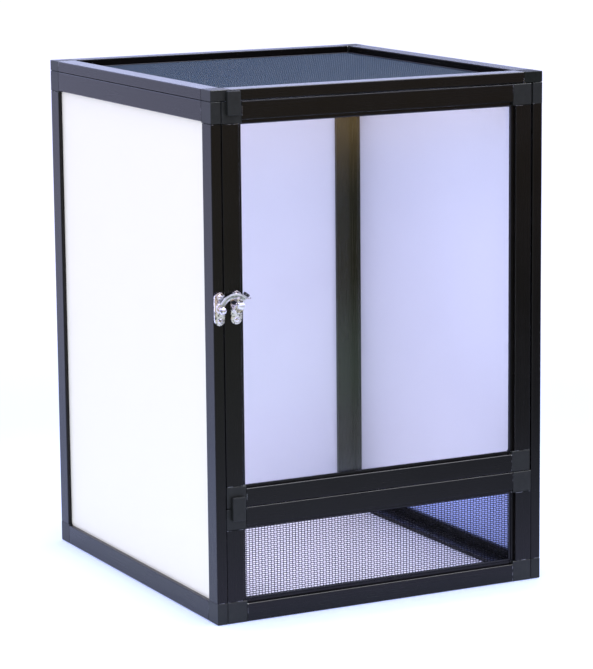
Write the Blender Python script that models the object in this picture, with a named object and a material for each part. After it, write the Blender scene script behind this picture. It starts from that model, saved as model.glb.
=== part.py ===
# PVC reptile terrarium with a screen top, a hinged front door and a screened vent below it.
#
# The cabinet is made of framed panels. Each frame is four hollow extruded rails,
# plugged onto the legs of four moulded corner keys, and holds a sheet, a pane or
# a screen in the groove of its rails. The door turns on two pins at its right
# edge, and a crescent latch holds its left edge.
#
# Sizes are in metres, +Z is up and the front faces -Y. The origin lies on the
# ground, in the middle of the box that the whole object fills.

from math import cos, pi, radians, sin

import bmesh
import bpy
from mathutils import Vector

# Overall size
CAGE_WIDTH = 0.430
CAGE_DEPTH = 0.456
CAGE_HEIGHT = 0.610
VENT_HEIGHT = 0.134

# Clearances
FIT = 0.0003
DOOR_GAP_ENDS = 0.0008
DOOR_GAP_LATCH = 0.0008
DOOR_GAP_HINGE = 0.0020

# Section of the extruded rails, across its width and through its thickness
RAIL_WIDTH = 0.0248
RAIL_THICKNESS = 0.0127
RAIL_WALL = 0.0015
RAIL_EDGE_RADIUS = 0.0012
GROOVE_DEPTH = 0.0075

# Rails of the door and the vent have a narrower face, with a lip set back behind it
FRONT_FACE = 0.0212
LIP_SET_BACK = 0.0046
LIP_THICKNESS = 0.0016

# Rails of the walls and the top have a wider face that covers the groove
WALL_FACE = 0.0236
WALL_FLANGE = 0.0044
TOP_FLANGE = 0.0078

# Corner keys
KEY_LEG = 0.022
KEY_LEG_TAPER = 0.004
KEY_TIP_SHARE = 0.8
KEY_EDGE = 0.0006
KEY_OVERLAP = 0.005

# What the frames hold
SHEET_THICKNESS = 0.0030
SCREEN_THICKNESS = 0.0010
SCREEN_WIRE = 0.0012
SCREEN_PITCH = 0.028
HEM_SHOWS = 0.0012

# Door hinge
PIN_RADIUS = 0.0020
PIN_FROM_EDGE = 0.0070
PIN_FROM_FACE = 0.0050
PIN_IN_FRAME = 0.0080
PIN_IN_DOOR = 0.0160

# Door stops, screwed to the door and lapping over the fixed frames
STOP_WIDTH = 0.0165
STOP_HEIGHT = 0.0275
STOP_THICKNESS = 0.0049
STOP_FROM_EDGE = 0.0052
STOP_EDGE = 0.0010
STOP_SHARE_ON_DOOR_TOP = 0.58
STOP_SHARE_ON_DOOR_BOTTOM = 0.5

# Crescent latch
LATCH_HEIGHT = 0.3655
PLATE_HEIGHT = 0.038
PLATE_THICKNESS = 0.0018
KEEPER_WIDTH = 0.0124
BASE_WIDTH = 0.0140
BASE_FROM_EDGE = 0.0072
BOSS_RADIUS = 0.0068
BOSS_HEIGHT = 0.0026
CAM_THICKNESS = 0.0034
CAM_RADIUS = 0.0193
CAM_OFFSET = 0.0034
CAM_BAND = 0.0046
CAM_TIP_BAND = 0.0018
CAM_HUB_RADIUS = 0.0062
CAM_TAB_REACH = 0.0012
CAM_TAB_RISE = 0.0042
CAM_TAB_THICKNESS = 0.0022
RIVET_RADIUS = 0.0022
RIVET_HEAD_RADIUS = 0.0046
RIVET_HEAD_RISE = 0.0040
RIVET_DOME_SHARE = 0.7
LUG_RADIUS = 0.0044
LUG_REACH = 0.0078
LUG_DOME_SHARE = 0.35

# Crescent angles about its own centre, from the right, counter-clockwise seen from the front
CAM_TIP_ANGLE = radians(164)
CAM_WEB_ANGLE = radians(66)
CAM_TAB_ANGLE = radians(40)
CAM_TAB_SPREAD = radians(20)

# Places worked out from the sizes
GROOVE_WIDTH = SHEET_THICKNESS + 2 * FIT
LIP_BACK = LIP_SET_BACK + LIP_THICKNESS
BODY_HEIGHT = CAGE_HEIGHT - RAIL_THICKNESS - FIT
INNER_WIDTH = CAGE_WIDTH - 2 * RAIL_THICKNESS
LATCH_BACK = FIT + PLATE_THICKNESS + BOSS_HEIGHT
RIVET_TOP = LATCH_BACK + CAM_THICKNESS + 2 * FIT + RIVET_HEAD_RISE
FRONT_Y = (RIVET_TOP - CAGE_DEPTH) / 2
BACK_Y = FRONT_Y + CAGE_DEPTH
LEFT_X = -CAGE_WIDTH / 2
RIGHT_X = CAGE_WIDTH / 2
DOOR_LEFT = LEFT_X + RAIL_THICKNESS + DOOR_GAP_LATCH
DOOR_RIGHT = RIGHT_X - RAIL_THICKNESS - DOOR_GAP_HINGE
DOOR_BOTTOM = VENT_HEIGHT + DOOR_GAP_ENDS
DOOR_TOP = BODY_HEIGHT + FIT - DOOR_GAP_ENDS
HINGE_X = DOOR_RIGHT - PIN_FROM_EDGE
HINGE_Y = FRONT_Y + PIN_FROM_FACE
PIVOT_X = DOOR_LEFT + BASE_FROM_EDGE + BASE_WIDTH / 2
QUARTER = pi / 2


def clear_scene():
    for old in list(bpy.data.objects):
        bpy.data.objects.remove(old, do_unlink=True)


def make_material(name, colour, roughness, metallic, alpha=1.0):
    material = bpy.data.materials.new(name)
    material.use_nodes = True
    shader = material.node_tree.nodes["Principled BSDF"]
    shader.inputs["Base Color"].default_value = (*colour, 1.0)
    shader.inputs["Roughness"].default_value = roughness
    shader.inputs["Metallic"].default_value = metallic
    shader.inputs["Alpha"].default_value = alpha
    return material


def add_empty(name, location, rotation=(0.0, 0.0, 0.0), parent=None):
    empty = bpy.data.objects.new(name, None)
    empty.location = location
    empty.rotation_euler = rotation
    empty.parent = parent
    bpy.context.collection.objects.link(empty)
    return empty


def add_object(name, bm, material, parent, location=(0.0, 0.0, 0.0), turn=0.0):
    # turns are about the local Y axis, which points into the panel
    bmesh.ops.recalc_face_normals(bm, faces=bm.faces[:])
    mesh = bpy.data.meshes.new(name)
    bm.to_mesh(mesh)
    bm.free()
    mesh.shade_smooth()
    mesh.set_sharp_from_angle(angle=radians(32))
    mesh.materials.append(material)
    piece = bpy.data.objects.new(name, mesh)
    piece.parent = parent
    piece.location = location
    piece.rotation_euler = (0.0, turn, 0.0)
    bpy.context.collection.objects.link(piece)
    return piece


def hide_tool(tool):
    tool.hide_render = True
    tool.display_type = "WIRE"


def add_boolean(piece, tool, operation):
    hide_tool(tool)
    modifier = piece.modifiers.new(operation.lower(), "BOOLEAN")
    modifier.operation = operation
    modifier.solver = "EXACT"
    modifier.object = tool


def arc_points(centre, radius, start, end, steps):
    points = []
    for step in range(steps + 1):
        angle = start + (end - start) * step / steps
        points.append((centre[0] + radius * cos(angle), centre[1] + radius * sin(angle)))
    return points


def rail_outline(face, flange):
    # u runs from the panel's outer edge to its opening, v from its outer face inwards
    radius = RAIL_EDGE_RADIUS
    groove_floor = RAIL_WIDTH - GROOVE_DEPTH
    groove_end = flange + GROOVE_WIDTH
    points = arc_points((radius, radius), radius, pi, 1.5 * pi, 3)
    points += arc_points((face - radius, radius), radius, 1.5 * pi, 2 * pi, 3)
    if face < WALL_FACE:
        points += [(face, LIP_SET_BACK), (RAIL_WIDTH, LIP_SET_BACK), (RAIL_WIDTH, flange)]
    else:
        points += [(face, flange)]
    points += [(groove_floor, flange), (groove_floor, groove_end)]
    points += [(face, groove_end), (face, RAIL_THICKNESS)]
    points += arc_points((radius, RAIL_THICKNESS - radius), radius, 0.5 * pi, pi, 3)
    return points


def rail_core():
    # the hollow that the keys' legs fill
    core_end = RAIL_WIDTH - GROOVE_DEPTH - RAIL_WALL
    inner = RAIL_THICKNESS - RAIL_WALL
    return [(RAIL_WALL, RAIL_WALL), (core_end, RAIL_WALL), (core_end, inner), (RAIL_WALL, inner)]


def rail_body(start, end, face, flange):
    # a hollow extrusion along X, open at both ends
    bm = bmesh.new()
    end_edges = ([], [])
    for outline in (rail_outline(face, flange), rail_core()):
        rings = []
        for x in (start, end):
            rings.append([bm.verts.new((x, v, u)) for u, v in outline])
        count = len(outline)
        for index in range(count):
            after = (index + 1) % count
            bm.faces.new((rings[0][index], rings[0][after], rings[1][after], rings[1][index]))
        for ring, edges in zip(rings, end_edges):
            for index in range(count):
                edges.append(bm.edges.get((ring[index], ring[(index + 1) % count])))
    for edges in end_edges:
        bmesh.ops.triangle_fill(bm, edges=edges, use_beauty=True)
    return bm


def block(low, high):
    bm = bmesh.new()
    bmesh.ops.create_cube(bm, size=1.0)
    for vert in bm.verts:
        for axis in range(3):
            vert.co[axis] = high[axis] if vert.co[axis] > 0 else low[axis]
    return bm


def break_edges(bm, edges, width, segments):
    bmesh.ops.bevel(
        bm, geom=edges, offset=width, segments=segments, profile=0.5, affect="EDGES", material=-1
    )


def face_towards(bm, axis):
    direction = Vector((0.0, 0.0, 0.0))
    direction[axis] = 1.0
    return max(bm.faces, key=lambda face: face.calc_center_median().dot(direction))


def grow_leg(bm, axis):
    # a leg stands on the key's side face and fills the hollow of the rail it enters
    face = face_towards(bm, axis)
    across = 2 - axis
    ranges = {
        1: (RAIL_WALL + FIT, RAIL_THICKNESS - RAIL_WALL - FIT),
        across: (RAIL_WALL + FIT, RAIL_WIDTH - GROOVE_DEPTH - RAIL_WALL - FIT),
    }
    bmesh.ops.inset_individual(bm, faces=[face], thickness=RAIL_WALL, use_even_offset=True)
    middle = face.calc_center_median()
    for vert in face.verts:
        for side, (low, high) in ranges.items():
            vert.co[side] = high if vert.co[side] > middle[side] else low
    for length, share in ((KEY_LEG - KEY_LEG_TAPER, 1.0), (KEY_LEG_TAPER, KEY_TIP_SHARE)):
        grown = bmesh.ops.extrude_discrete_faces(bm, faces=[face])
        face = grown["faces"][0]
        middle = face.calc_center_median()
        for vert in face.verts:
            vert.co = middle + (vert.co - middle) * share
            vert.co[axis] += length


def key_body(legs):
    # the key fills the corner of the frame, with its outer corner at the origin
    bm = block((0.0, 0.0, 0.0), (RAIL_WIDTH, RAIL_THICKNESS, RAIL_WIDTH))
    break_edges(bm, bm.edges[:], KEY_EDGE, 1)
    for axis in legs:
        grow_leg(bm, axis)
    return bm


def notched_outline(width, height):
    # the corners are notched so that a sheet clears the keys
    reach = RAIL_WIDTH - GROOVE_DEPTH + FIT
    notch = RAIL_WIDTH + FIT
    corner = [(reach, notch), (notch, notch), (notch, reach)]
    outline = list(corner)
    outline += [(width - x, z) for x, z in reversed(corner)]
    outline += [(width - x, height - z) for x, z in corner]
    outline += [(x, height - z) for x, z in reversed(corner)]
    return outline


def outline_plate(outline, low, high):
    # a flat plate in the XZ plane, from one depth to the other
    bm = bmesh.new()
    ring = [bm.verts.new((x, low, z)) for x, z in outline]
    face = bm.faces.new(ring)
    grown = bmesh.ops.extrude_face_region(bm, geom=[face])
    verts = [item for item in grown["geom"] if isinstance(item, bmesh.types.BMVert)]
    bmesh.ops.translate(bm, verts=verts, vec=(0.0, high - low, 0.0))
    return bm


def sheet_body(width, height, flange):
    front = flange + FIT
    return outline_plate(notched_outline(width, height), front, front + SHEET_THICKNESS)


def wire_lines(start, end):
    # the net's edge, both edges of every gap between its wires, and its other edge
    gaps = max(2, round((end - start) / SCREEN_PITCH))
    pitch = (end - start - SCREEN_WIRE) / gaps
    lines = [start]
    for gap in range(gaps):
        lines += [start + gap * pitch + SCREEN_WIRE, start + (gap + 1) * pitch]
    return lines + [end]


def ring_edges(bm, ring):
    return [bm.edges.new((ring[index - 1], ring[index])) for index in range(len(ring))]


def gap_ring(grid, i, j):
    return (grid[i][j], grid[i + 1][j], grid[i + 1][j + 1], grid[i][j + 1])


def net_grid(bm, xs, zs, y):
    # one side of the flat net, with its gaps left open
    grid = [[bm.verts.new((x, y, z)) for z in zs] for x in xs]
    for i in range(len(xs) - 1):
        for j in range(len(zs) - 1):
            if i % 2 == 0 or j % 2 == 0:
                bm.faces.new(gap_ring(grid, i, j))
    return grid


def wall_between(bm, front_ring, back_ring):
    for k in range(len(front_ring)):
        bm.faces.new((front_ring[k - 1], front_ring[k], back_ring[k], back_ring[k - 1]))


def gap_walls(bm, front, back):
    for i in range(1, len(front) - 1, 2):
        for j in range(1, len(front[0]) - 1, 2):
            wall_between(bm, gap_ring(front, i, j), gap_ring(back, i, j))


def grid_sides(grid):
    # the grid's border as four runs of points, each from corner to corner
    bottom = [column[0] for column in grid]
    right = list(grid[-1])
    top = [column[-1] for column in reversed(grid)]
    left = list(reversed(grid[0]))
    return (bottom, right, top, left)


def hem_face(bm, outline, corners, y, grid):
    # one face of the hem, and the step from it down to the net
    outer = [bm.verts.new((x, y, z)) for x, z in outline]
    inner = [bm.verts.new((x, y, z)) for x, z in corners]
    bmesh.ops.triangle_fill(bm, edges=ring_edges(bm, outer) + ring_edges(bm, inner), use_beauty=True)
    for index, side in enumerate(grid_sides(grid)):
        bm.faces.new([inner[index], inner[(index + 1) % 4]] + side[::-1])
    return outer


def screen_body(width, height, flange):
    # a net in a notched hem, which fills the groove as the screen's rubber bead does
    start = RAIL_WIDTH + FIT + HEM_SHOWS
    hem_front = flange + FIT
    net_front = hem_front + (SHEET_THICKNESS - SCREEN_THICKNESS) / 2
    xs = wire_lines(start, width - start)
    zs = wire_lines(start, height - start)
    bm = bmesh.new()
    front = net_grid(bm, xs, zs, net_front)
    back = net_grid(bm, xs, zs, net_front + SCREEN_THICKNESS)
    corners = [(xs[0], zs[0]), (xs[-1], zs[0]), (xs[-1], zs[-1]), (xs[0], zs[-1])]
    outline = notched_outline(width, height)
    outer_front = hem_face(bm, outline, corners, hem_front, front)
    outer_back = hem_face(bm, outline, corners, hem_front + SHEET_THICKNESS, back)
    gap_walls(bm, front, back)
    wall_between(bm, outer_front, outer_back)
    return bm


def frame_corners(width, height):
    # each side of a frame as the place and turn of its start, and its length
    return (
        ((0.0, 0.0, 0.0), 0.0, width),
        ((width, 0.0, 0.0), -QUARTER, height),
        ((width, 0.0, height), 2 * QUARTER, width),
        ((0.0, 0.0, height), QUARTER, height),
    )


def frame_with_keys(prefix, sides, corners, width, height, section, panel, looks):
    # four rails plugged onto four separate keys
    keys = []
    for (place, turn, length), side, corner in zip(frame_corners(width, height), sides, corners):
        start = RAIL_WIDTH + FIT
        rail = rail_body(start, length - start, *section)
        add_object(f"{prefix}_{side}", rail, looks["rail"], panel, place, turn)
        keys.append(add_object(f"{prefix}_key_{corner}", key_body((0, 2)), looks["key"], panel, place, turn))
    return keys


def frame_of_keyed_rails(prefix, sides, width, height, panel, looks):
    # four rails, each fused with the key at its start, so that one frame is four pieces
    for (place, turn, length), side in zip(frame_corners(width, height), sides):
        start = RAIL_WIDTH - KEY_OVERLAP
        end = length - RAIL_WIDTH - FIT
        body = rail_body(start, end, WALL_FACE, WALL_FLANGE)
        rail = add_object(f"{prefix}_{side}", body, looks["rail"], panel, place, turn)
        key = add_object(f"{prefix}_{side}_key_tool", key_body((2,)), looks["key"], panel, place, turn)
        add_boolean(rail, key, "UNION")


def round_ended(width, height):
    # a plate's outline with half-round ends, centred on the origin
    radius = width / 2
    rise = height / 2 - radius
    points = arc_points((0.0, rise), radius, 0.0, pi, 8)
    points += arc_points((0.0, -rise), radius, pi, 2 * pi, 8)
    return points


def disc_tool(name, radius, low, high, parent, looks, steps=24):
    points = arc_points((0.0, 0.0), radius, 0.0, 2 * pi, steps)[:-1]
    return add_object(name, outline_plate(points, low, high), looks["metal"], parent)


def door_stop(name, centre_z, panel, looks):
    low = (STOP_FROM_EDGE, -FIT - STOP_THICKNESS, centre_z - STOP_HEIGHT / 2)
    high = (STOP_FROM_EDGE + STOP_WIDTH, -FIT, centre_z + STOP_HEIGHT / 2)
    bm = block(low, high)
    break_edges(bm, bm.edges[:], STOP_EDGE, 2)
    add_object(name, bm, looks["key"], panel)


def upright_cylinder(radius, low, high):
    bm = bmesh.new()
    bmesh.ops.create_cone(bm, cap_ends=True, segments=20, radius1=radius, radius2=radius, depth=high - low)
    bmesh.ops.translate(bm, verts=bm.verts, vec=(0.0, 0.0, (low + high) / 2))
    return bm


def hinge_pin(name, low, high, axis, looks):
    # a plain round pin on the hinge axis, with both ends broken
    bm = upright_cylinder(PIN_RADIUS, low, high)
    rims = [edge for edge in bm.edges if abs(edge.verts[0].co.z - edge.verts[1].co.z) < FIT]
    break_edges(bm, rims, FIT, 1)
    return add_object(name, bm, looks["pin"], axis)


def pin_bore(name, low, high, axis, looks):
    tool = add_object(name, upright_cylinder(PIN_RADIUS + FIT, low, high), looks["pin"], axis)
    hide_tool(tool)
    return tool


def on_crescent(radius, start, end, steps):
    # the crescent's own centre lies beside the pivot, so that the tip draws the door in
    return arc_points((-CAM_OFFSET, 0.0), radius, start, end, steps)


def cam_outline():
    # a crescent that thins to its tip, joined to a round hub, with a thumb tab past its root
    steps = 14
    tab_end = CAM_TAB_ANGLE - CAM_TAB_SPREAD
    outer = on_crescent(CAM_RADIUS, CAM_TIP_ANGLE, CAM_TAB_ANGLE, steps)
    tab = on_crescent(CAM_RADIUS + CAM_TAB_REACH, CAM_TAB_ANGLE, tab_end, 3)
    root = on_crescent(CAM_RADIUS - CAM_BAND, tab_end, tab_end, 1)[:1]
    hub_end = CAM_WEB_ANGLE + QUARTER / 2 - 2 * pi
    hub = arc_points((0.0, 0.0), CAM_HUB_RADIUS, tab_end - QUARTER / 2, hub_end, 12)
    inner = []
    for step in range(steps + 1):
        share = step / steps
        angle = CAM_WEB_ANGLE + (CAM_TIP_ANGLE - CAM_WEB_ANGLE) * share
        band = CAM_BAND + (CAM_TIP_BAND - CAM_BAND) * share
        inner += on_crescent(CAM_RADIUS - band, angle, angle, 1)[:1]
    return outer + tab + root + hub + inner


def turned_post(profile, steps):
    # a solid turned about the local Y axis from points of radius and depth
    bm = bmesh.new()
    verts = [bm.verts.new((radius, depth, 0.0)) for radius, depth in profile]
    edges = [bm.edges.new(pair) for pair in zip(verts, verts[1:])]
    bmesh.ops.spin(
        bm, geom=verts + edges, cent=(0, 0, 0), axis=(0, 1, 0), angle=2 * pi, steps=steps, use_merge=True
    )
    bmesh.ops.remove_doubles(bm, verts=bm.verts, dist=FIT / 100)
    return bm


def domed(radius, seat, rise, dome_share):
    # the side and the domed end of a round head that stands towards -Y
    side = rise * (1 - dome_share)
    quarter_round = arc_points((0.0, 0.0), 1.0, 0.0, QUARTER, 4)[:-1]
    points = [(radius * x, seat - side - rise * dome_share * y) for x, y in quarter_round]
    return points + [(0.0, seat - rise)]


def latch_keeper(panel, looks):
    # the plate on the side panel's front edge, with the round lug that stands below the crescent's tip
    bm = outline_plate(round_ended(KEEPER_WIDTH, PLATE_HEIGHT), -FIT - PLATE_THICKNESS, -FIT)
    plate = add_object("latch_keeper", bm, looks["metal"], panel)
    foot = -FIT - PLATE_THICKNESS / 2
    profile = [(0.0, foot), (LUG_RADIUS, foot)]
    profile += domed(LUG_RADIUS, -FIT - PLATE_THICKNESS, LUG_REACH, LUG_DOME_SHARE)
    lug_top = CAM_RADIUS * sin(CAM_TIP_ANGLE) - CAM_TIP_BAND - 2 * FIT
    place = ((RAIL_THICKNESS + FIT) / 2 - LUG_RADIUS, 0.0, lug_top - LUG_RADIUS)
    lug = add_object("latch_keeper_lug_tool", turned_post(profile, 20), looks["metal"], panel, place)
    add_boolean(plate, lug, "UNION")


def latch_on_door(base, looks):
    # the base plate carries a boss, and the rivet holds the crescent on it
    front = -FIT - PLATE_THICKNESS
    cam_back = -LATCH_BACK - FIT
    cam_front = cam_back - CAM_THICKNESS
    bore_radius = RIVET_RADIUS + FIT
    plate_bm = outline_plate(round_ended(BASE_WIDTH, PLATE_HEIGHT), front, -FIT)
    plate = add_object("latch_base", plate_bm, looks["metal"], base)
    boss = disc_tool("latch_boss_tool", BOSS_RADIUS, -LATCH_BACK, front + PLATE_THICKNESS / 2, base, looks)
    add_boolean(plate, boss, "UNION")
    bore = disc_tool("latch_bore_tool", bore_radius, -RIVET_TOP, front + FIT, base, looks)
    add_boolean(plate, bore, "DIFFERENCE")
    cam = add_object("latch_cam", outline_plate(cam_outline(), cam_front, cam_back), looks["metal"], base)
    add_boolean(cam, thumb_tab(cam_front, base, looks), "UNION")
    cam_bore = disc_tool("latch_cam_bore_tool", bore_radius, -RIVET_TOP, -FIT, base, looks)
    add_boolean(cam, cam_bore, "DIFFERENCE")
    rivet(front, cam_front, base, looks)


def thumb_tab(cam_front, base, looks):
    # the end of the cam is turned up along its edge, for the thumb to push
    outer = CAM_RADIUS + CAM_TAB_REACH - FIT
    start = CAM_TAB_ANGLE - FIT / CAM_RADIUS
    end = CAM_TAB_ANGLE - CAM_TAB_SPREAD + FIT / CAM_RADIUS
    outline = on_crescent(outer, start, end, 4)
    outline += on_crescent(outer - CAM_TAB_THICKNESS, end, start, 4)
    bm = outline_plate(outline, cam_front - CAM_TAB_RISE, cam_front + FIT)
    return add_object("latch_tab_tool", bm, looks["metal"], base)


def rivet(front, cam_front, base, looks):
    # a shank in the bores of the base and the cam, with a domed head over the cam
    seat = cam_front - FIT
    profile = [(0.0, front), (RIVET_RADIUS, front), (RIVET_RADIUS, seat), (RIVET_HEAD_RADIUS, seat)]
    profile += domed(RIVET_HEAD_RADIUS, seat, RIVET_HEAD_RISE, RIVET_DOME_SHARE)
    add_object("latch_rivet", turned_post(profile, 20), looks["metal"], base)


def build_looks():
    return {
        "rail": make_material("black_rail", (0.012, 0.012, 0.014), 0.38, 0.4),
        "key": make_material("black_key", (0.030, 0.032, 0.038), 0.55, 0.0),
        "sheet": make_material("white_sheet", (0.86, 0.87, 0.92), 0.35, 0.0),
        "pane": make_material("clear_pane", (0.90, 0.91, 0.98), 0.05, 0.0, 0.25),
        "screen": make_material("dark_screen", (0.05, 0.06, 0.09), 0.6, 0.0),
        "metal": make_material("chromed_latch", (0.75, 0.76, 0.80), 0.12, 1.0),
        "pin": make_material("steel_pin", (0.45, 0.46, 0.48), 0.35, 1.0),
    }


def cabinet_panel(name, location, rotation):
    return add_empty(f"{name}_place", location, rotation)


def build_sides(looks):
    # each side panel runs the full depth, and the other walls stand between them
    left = cabinet_panel("left", (LEFT_X, BACK_Y, 0.0), (0.0, 0.0, -QUARTER))
    sides = ("bottom_rail", "front_stile", "top_rail", "back_stile")
    corners = ("bottom_back", "bottom_front", "top_front", "top_back")
    section = (WALL_FACE, WALL_FLANGE)
    frame_with_keys("left", sides, corners, CAGE_DEPTH, BODY_HEIGHT, section, left, looks)
    add_object("left_sheet", sheet_body(CAGE_DEPTH, BODY_HEIGHT, WALL_FLANGE), looks["sheet"], left)
    right = cabinet_panel("right", (RIGHT_X, FRONT_Y, 0.0), (0.0, 0.0, QUARTER))
    sides = ("bottom_rail", "back_stile", "top_rail", "front_stile")
    frame_of_keyed_rails("right", sides, CAGE_DEPTH, BODY_HEIGHT, right, looks)
    add_object("right_sheet", sheet_body(CAGE_DEPTH, BODY_HEIGHT, WALL_FLANGE), looks["sheet"], right)


def build_back_and_floor(looks):
    width = INNER_WIDTH - 2 * FIT
    right = RIGHT_X - RAIL_THICKNESS - FIT
    back = cabinet_panel("back", (right, BACK_Y, 0.0), (0.0, 0.0, 2 * QUARTER))
    sides = ("bottom_rail", "left_stile", "top_rail", "right_stile")
    frame_of_keyed_rails("back", sides, width, BODY_HEIGHT, back, looks)
    add_object("back_sheet", sheet_body(width, BODY_HEIGHT, WALL_FLANGE), looks["sheet"], back)
    depth = CAGE_DEPTH - 2 * (RAIL_THICKNESS + FIT)
    floor = cabinet_panel("floor", (-width / 2, BACK_Y - RAIL_THICKNESS - FIT, 0.0), (QUARTER, 0.0, 0.0))
    sides = ("back_rail", "right_rail", "front_rail", "left_rail")
    frame_of_keyed_rails("floor", sides, width, depth, floor, looks)
    add_object("floor_sheet", sheet_body(width, depth, WALL_FLANGE), looks["sheet"], floor)


def build_top(looks):
    top = cabinet_panel("top", (LEFT_X, FRONT_Y, CAGE_HEIGHT), (-QUARTER, 0.0, 0.0))
    sides = ("front_rail", "right_rail", "back_rail", "left_rail")
    corners = ("front_left", "front_right", "back_right", "back_left")
    section = (WALL_FACE, TOP_FLANGE)
    keys = frame_with_keys("top", sides, corners, CAGE_WIDTH, CAGE_DEPTH, section, top, looks)
    add_object("top_screen", screen_body(CAGE_WIDTH, CAGE_DEPTH, TOP_FLANGE), looks["screen"], top)
    return keys[1]


def build_vent(looks):
    width = INNER_WIDTH - 2 * FIT
    vent = cabinet_panel("vent", (-width / 2, FRONT_Y, 0.0), (0.0, 0.0, 0.0))
    sides = ("bottom_rail", "right_stile", "top_rail", "left_stile")
    corners = ("bottom_left", "bottom_right", "top_right", "top_left")
    section = (FRONT_FACE, LIP_BACK)
    keys = frame_with_keys("vent", sides, corners, width, VENT_HEIGHT, section, vent, looks)
    add_object("vent_screen", screen_body(width, VENT_HEIGHT, LIP_BACK), looks["screen"], vent)
    return keys[2]


def build_door(looks):
    # the door's pieces hang from an empty on the hinge axis
    pivot = add_empty("door_pivot", (HINGE_X, HINGE_Y, 0.0))
    place = add_empty("door_place", (DOOR_LEFT - HINGE_X, FRONT_Y - HINGE_Y, DOOR_BOTTOM), parent=pivot)
    width = DOOR_RIGHT - DOOR_LEFT
    height = DOOR_TOP - DOOR_BOTTOM
    sides = ("bottom_rail", "hinge_stile", "top_rail", "latch_stile")
    corners = ("bottom_left", "bottom_right", "top_right", "top_left")
    section = (FRONT_FACE, LIP_BACK)
    keys = frame_with_keys("door", sides, corners, width, height, section, place, looks)
    add_object("door_pane", sheet_body(width, height, LIP_BACK), looks["pane"], place)
    top_centre = height + DOOR_GAP_ENDS - STOP_HEIGHT * (STOP_SHARE_ON_DOOR_TOP - 0.5)
    bottom_centre = -DOOR_GAP_ENDS + STOP_HEIGHT * (STOP_SHARE_ON_DOOR_BOTTOM - 0.5)
    door_stop("door_stop_top", top_centre, place, looks)
    door_stop("door_stop_bottom", bottom_centre, place, looks)
    return pivot, keys[1], keys[2]


def build_hinge(vent_key, top_key, door_bottom_key, door_top_key, looks):
    # one pin below and one above, each seated in a fixed key and turning in a key of the door
    axis = add_empty("hinge_place", (HINGE_X, HINGE_Y, 0.0))
    spans = (
        ("lower", VENT_HEIGHT - PIN_IN_FRAME, DOOR_BOTTOM + PIN_IN_DOOR, (vent_key, door_bottom_key)),
        ("upper", DOOR_TOP - PIN_IN_DOOR, BODY_HEIGHT + FIT + PIN_IN_FRAME, (top_key, door_top_key)),
    )
    for name, low, high, keys in spans:
        hinge_pin(f"hinge_pin_{name}", low, high, axis, looks)
        bore = pin_bore(f"hinge_bore_{name}_tool", low - FIT, high + FIT, axis, looks)
        for key in keys:
            add_boolean(key, bore, "DIFFERENCE")


def build_latch(pivot, looks):
    keeper = add_empty("keeper_place", (LEFT_X + RAIL_THICKNESS / 2, FRONT_Y, LATCH_HEIGHT))
    latch_keeper(keeper, looks)
    cam_pivot = add_empty("latch_pivot", (PIVOT_X - HINGE_X, FRONT_Y - HINGE_Y, LATCH_HEIGHT), parent=pivot)
    latch_on_door(cam_pivot, looks)


def even_shading():
    # flat faces keep their own direction beside the small roundings
    for piece in bpy.data.objects:
        if piece.type == "MESH":
            modifier = piece.modifiers.new("even_shading", "WEIGHTED_NORMAL")
            modifier.keep_sharp = True


def main():
    clear_scene()
    looks = build_looks()
    build_sides(looks)
    build_back_and_floor(looks)
    top_key = build_top(looks)
    vent_key = build_vent(looks)
    pivot, door_bottom_key, door_top_key = build_door(looks)
    build_hinge(vent_key, top_key, door_bottom_key, door_top_key, looks)
    build_latch(pivot, looks)
    even_shading()


main()
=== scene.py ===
# %% [markdown]
# # A reptile terrarium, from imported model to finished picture
# The cage is a set of framed panels: black extruded rails, moulded corner keys, white
# PVC sheets, a clear door pane and two woven screens. Its exact solids were made before,
# so this lesson dresses them: it sets up a camera and soft studio light, gives every
# piece a finish made of shader nodes, and swaps the plain screens and latch for fine ones.

from math import cos, pi, radians, sin

import bmesh
import bpy
from mathutils import Matrix, Vector


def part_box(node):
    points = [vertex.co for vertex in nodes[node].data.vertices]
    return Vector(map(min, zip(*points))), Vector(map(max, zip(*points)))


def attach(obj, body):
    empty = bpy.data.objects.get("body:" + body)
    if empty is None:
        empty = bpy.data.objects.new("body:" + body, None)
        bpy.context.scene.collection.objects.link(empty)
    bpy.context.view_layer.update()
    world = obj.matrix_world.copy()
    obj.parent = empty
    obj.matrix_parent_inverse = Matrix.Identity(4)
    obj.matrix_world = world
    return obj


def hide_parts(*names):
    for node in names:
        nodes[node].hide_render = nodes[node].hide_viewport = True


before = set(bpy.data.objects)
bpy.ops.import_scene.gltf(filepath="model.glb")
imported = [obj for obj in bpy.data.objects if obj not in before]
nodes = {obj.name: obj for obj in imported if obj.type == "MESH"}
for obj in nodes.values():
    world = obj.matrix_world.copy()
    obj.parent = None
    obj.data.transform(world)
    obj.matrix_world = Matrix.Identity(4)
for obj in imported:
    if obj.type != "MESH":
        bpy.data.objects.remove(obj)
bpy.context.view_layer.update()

# %% [markdown]
# ## Camera
# The photograph was taken with a long lens from more than 3.5 m away, a little above the
# cage's top and to the left of its door. A camera could be placed by eye, but straight
# frames show every error, so the place, the turn and the lens were found by matching the
# edges of the frames. They are plain numbers here.

# %% Place the camera
CAMERA_PLACE = (-1.61705, -3.14523, 0.92970)
CAMERA_TURN = (79.6238, 0.5452, -27.3521)
CAMERA_LENS = 158.688

camera_data = bpy.data.cameras.new("photo_camera")
camera_data.lens = CAMERA_LENS
camera_data.sensor_width = 36.0
camera_data.clip_start = 0.05
camera = bpy.data.objects.new("photo_camera", camera_data)
camera.location = CAMERA_PLACE
camera.rotation_euler = [radians(angle) for angle in CAMERA_TURN]
bpy.context.collection.objects.link(camera)
bpy.context.scene.camera = camera
print("camera stands", round(Vector(CAMERA_PLACE).length, 2), "m from the cage")

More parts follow.
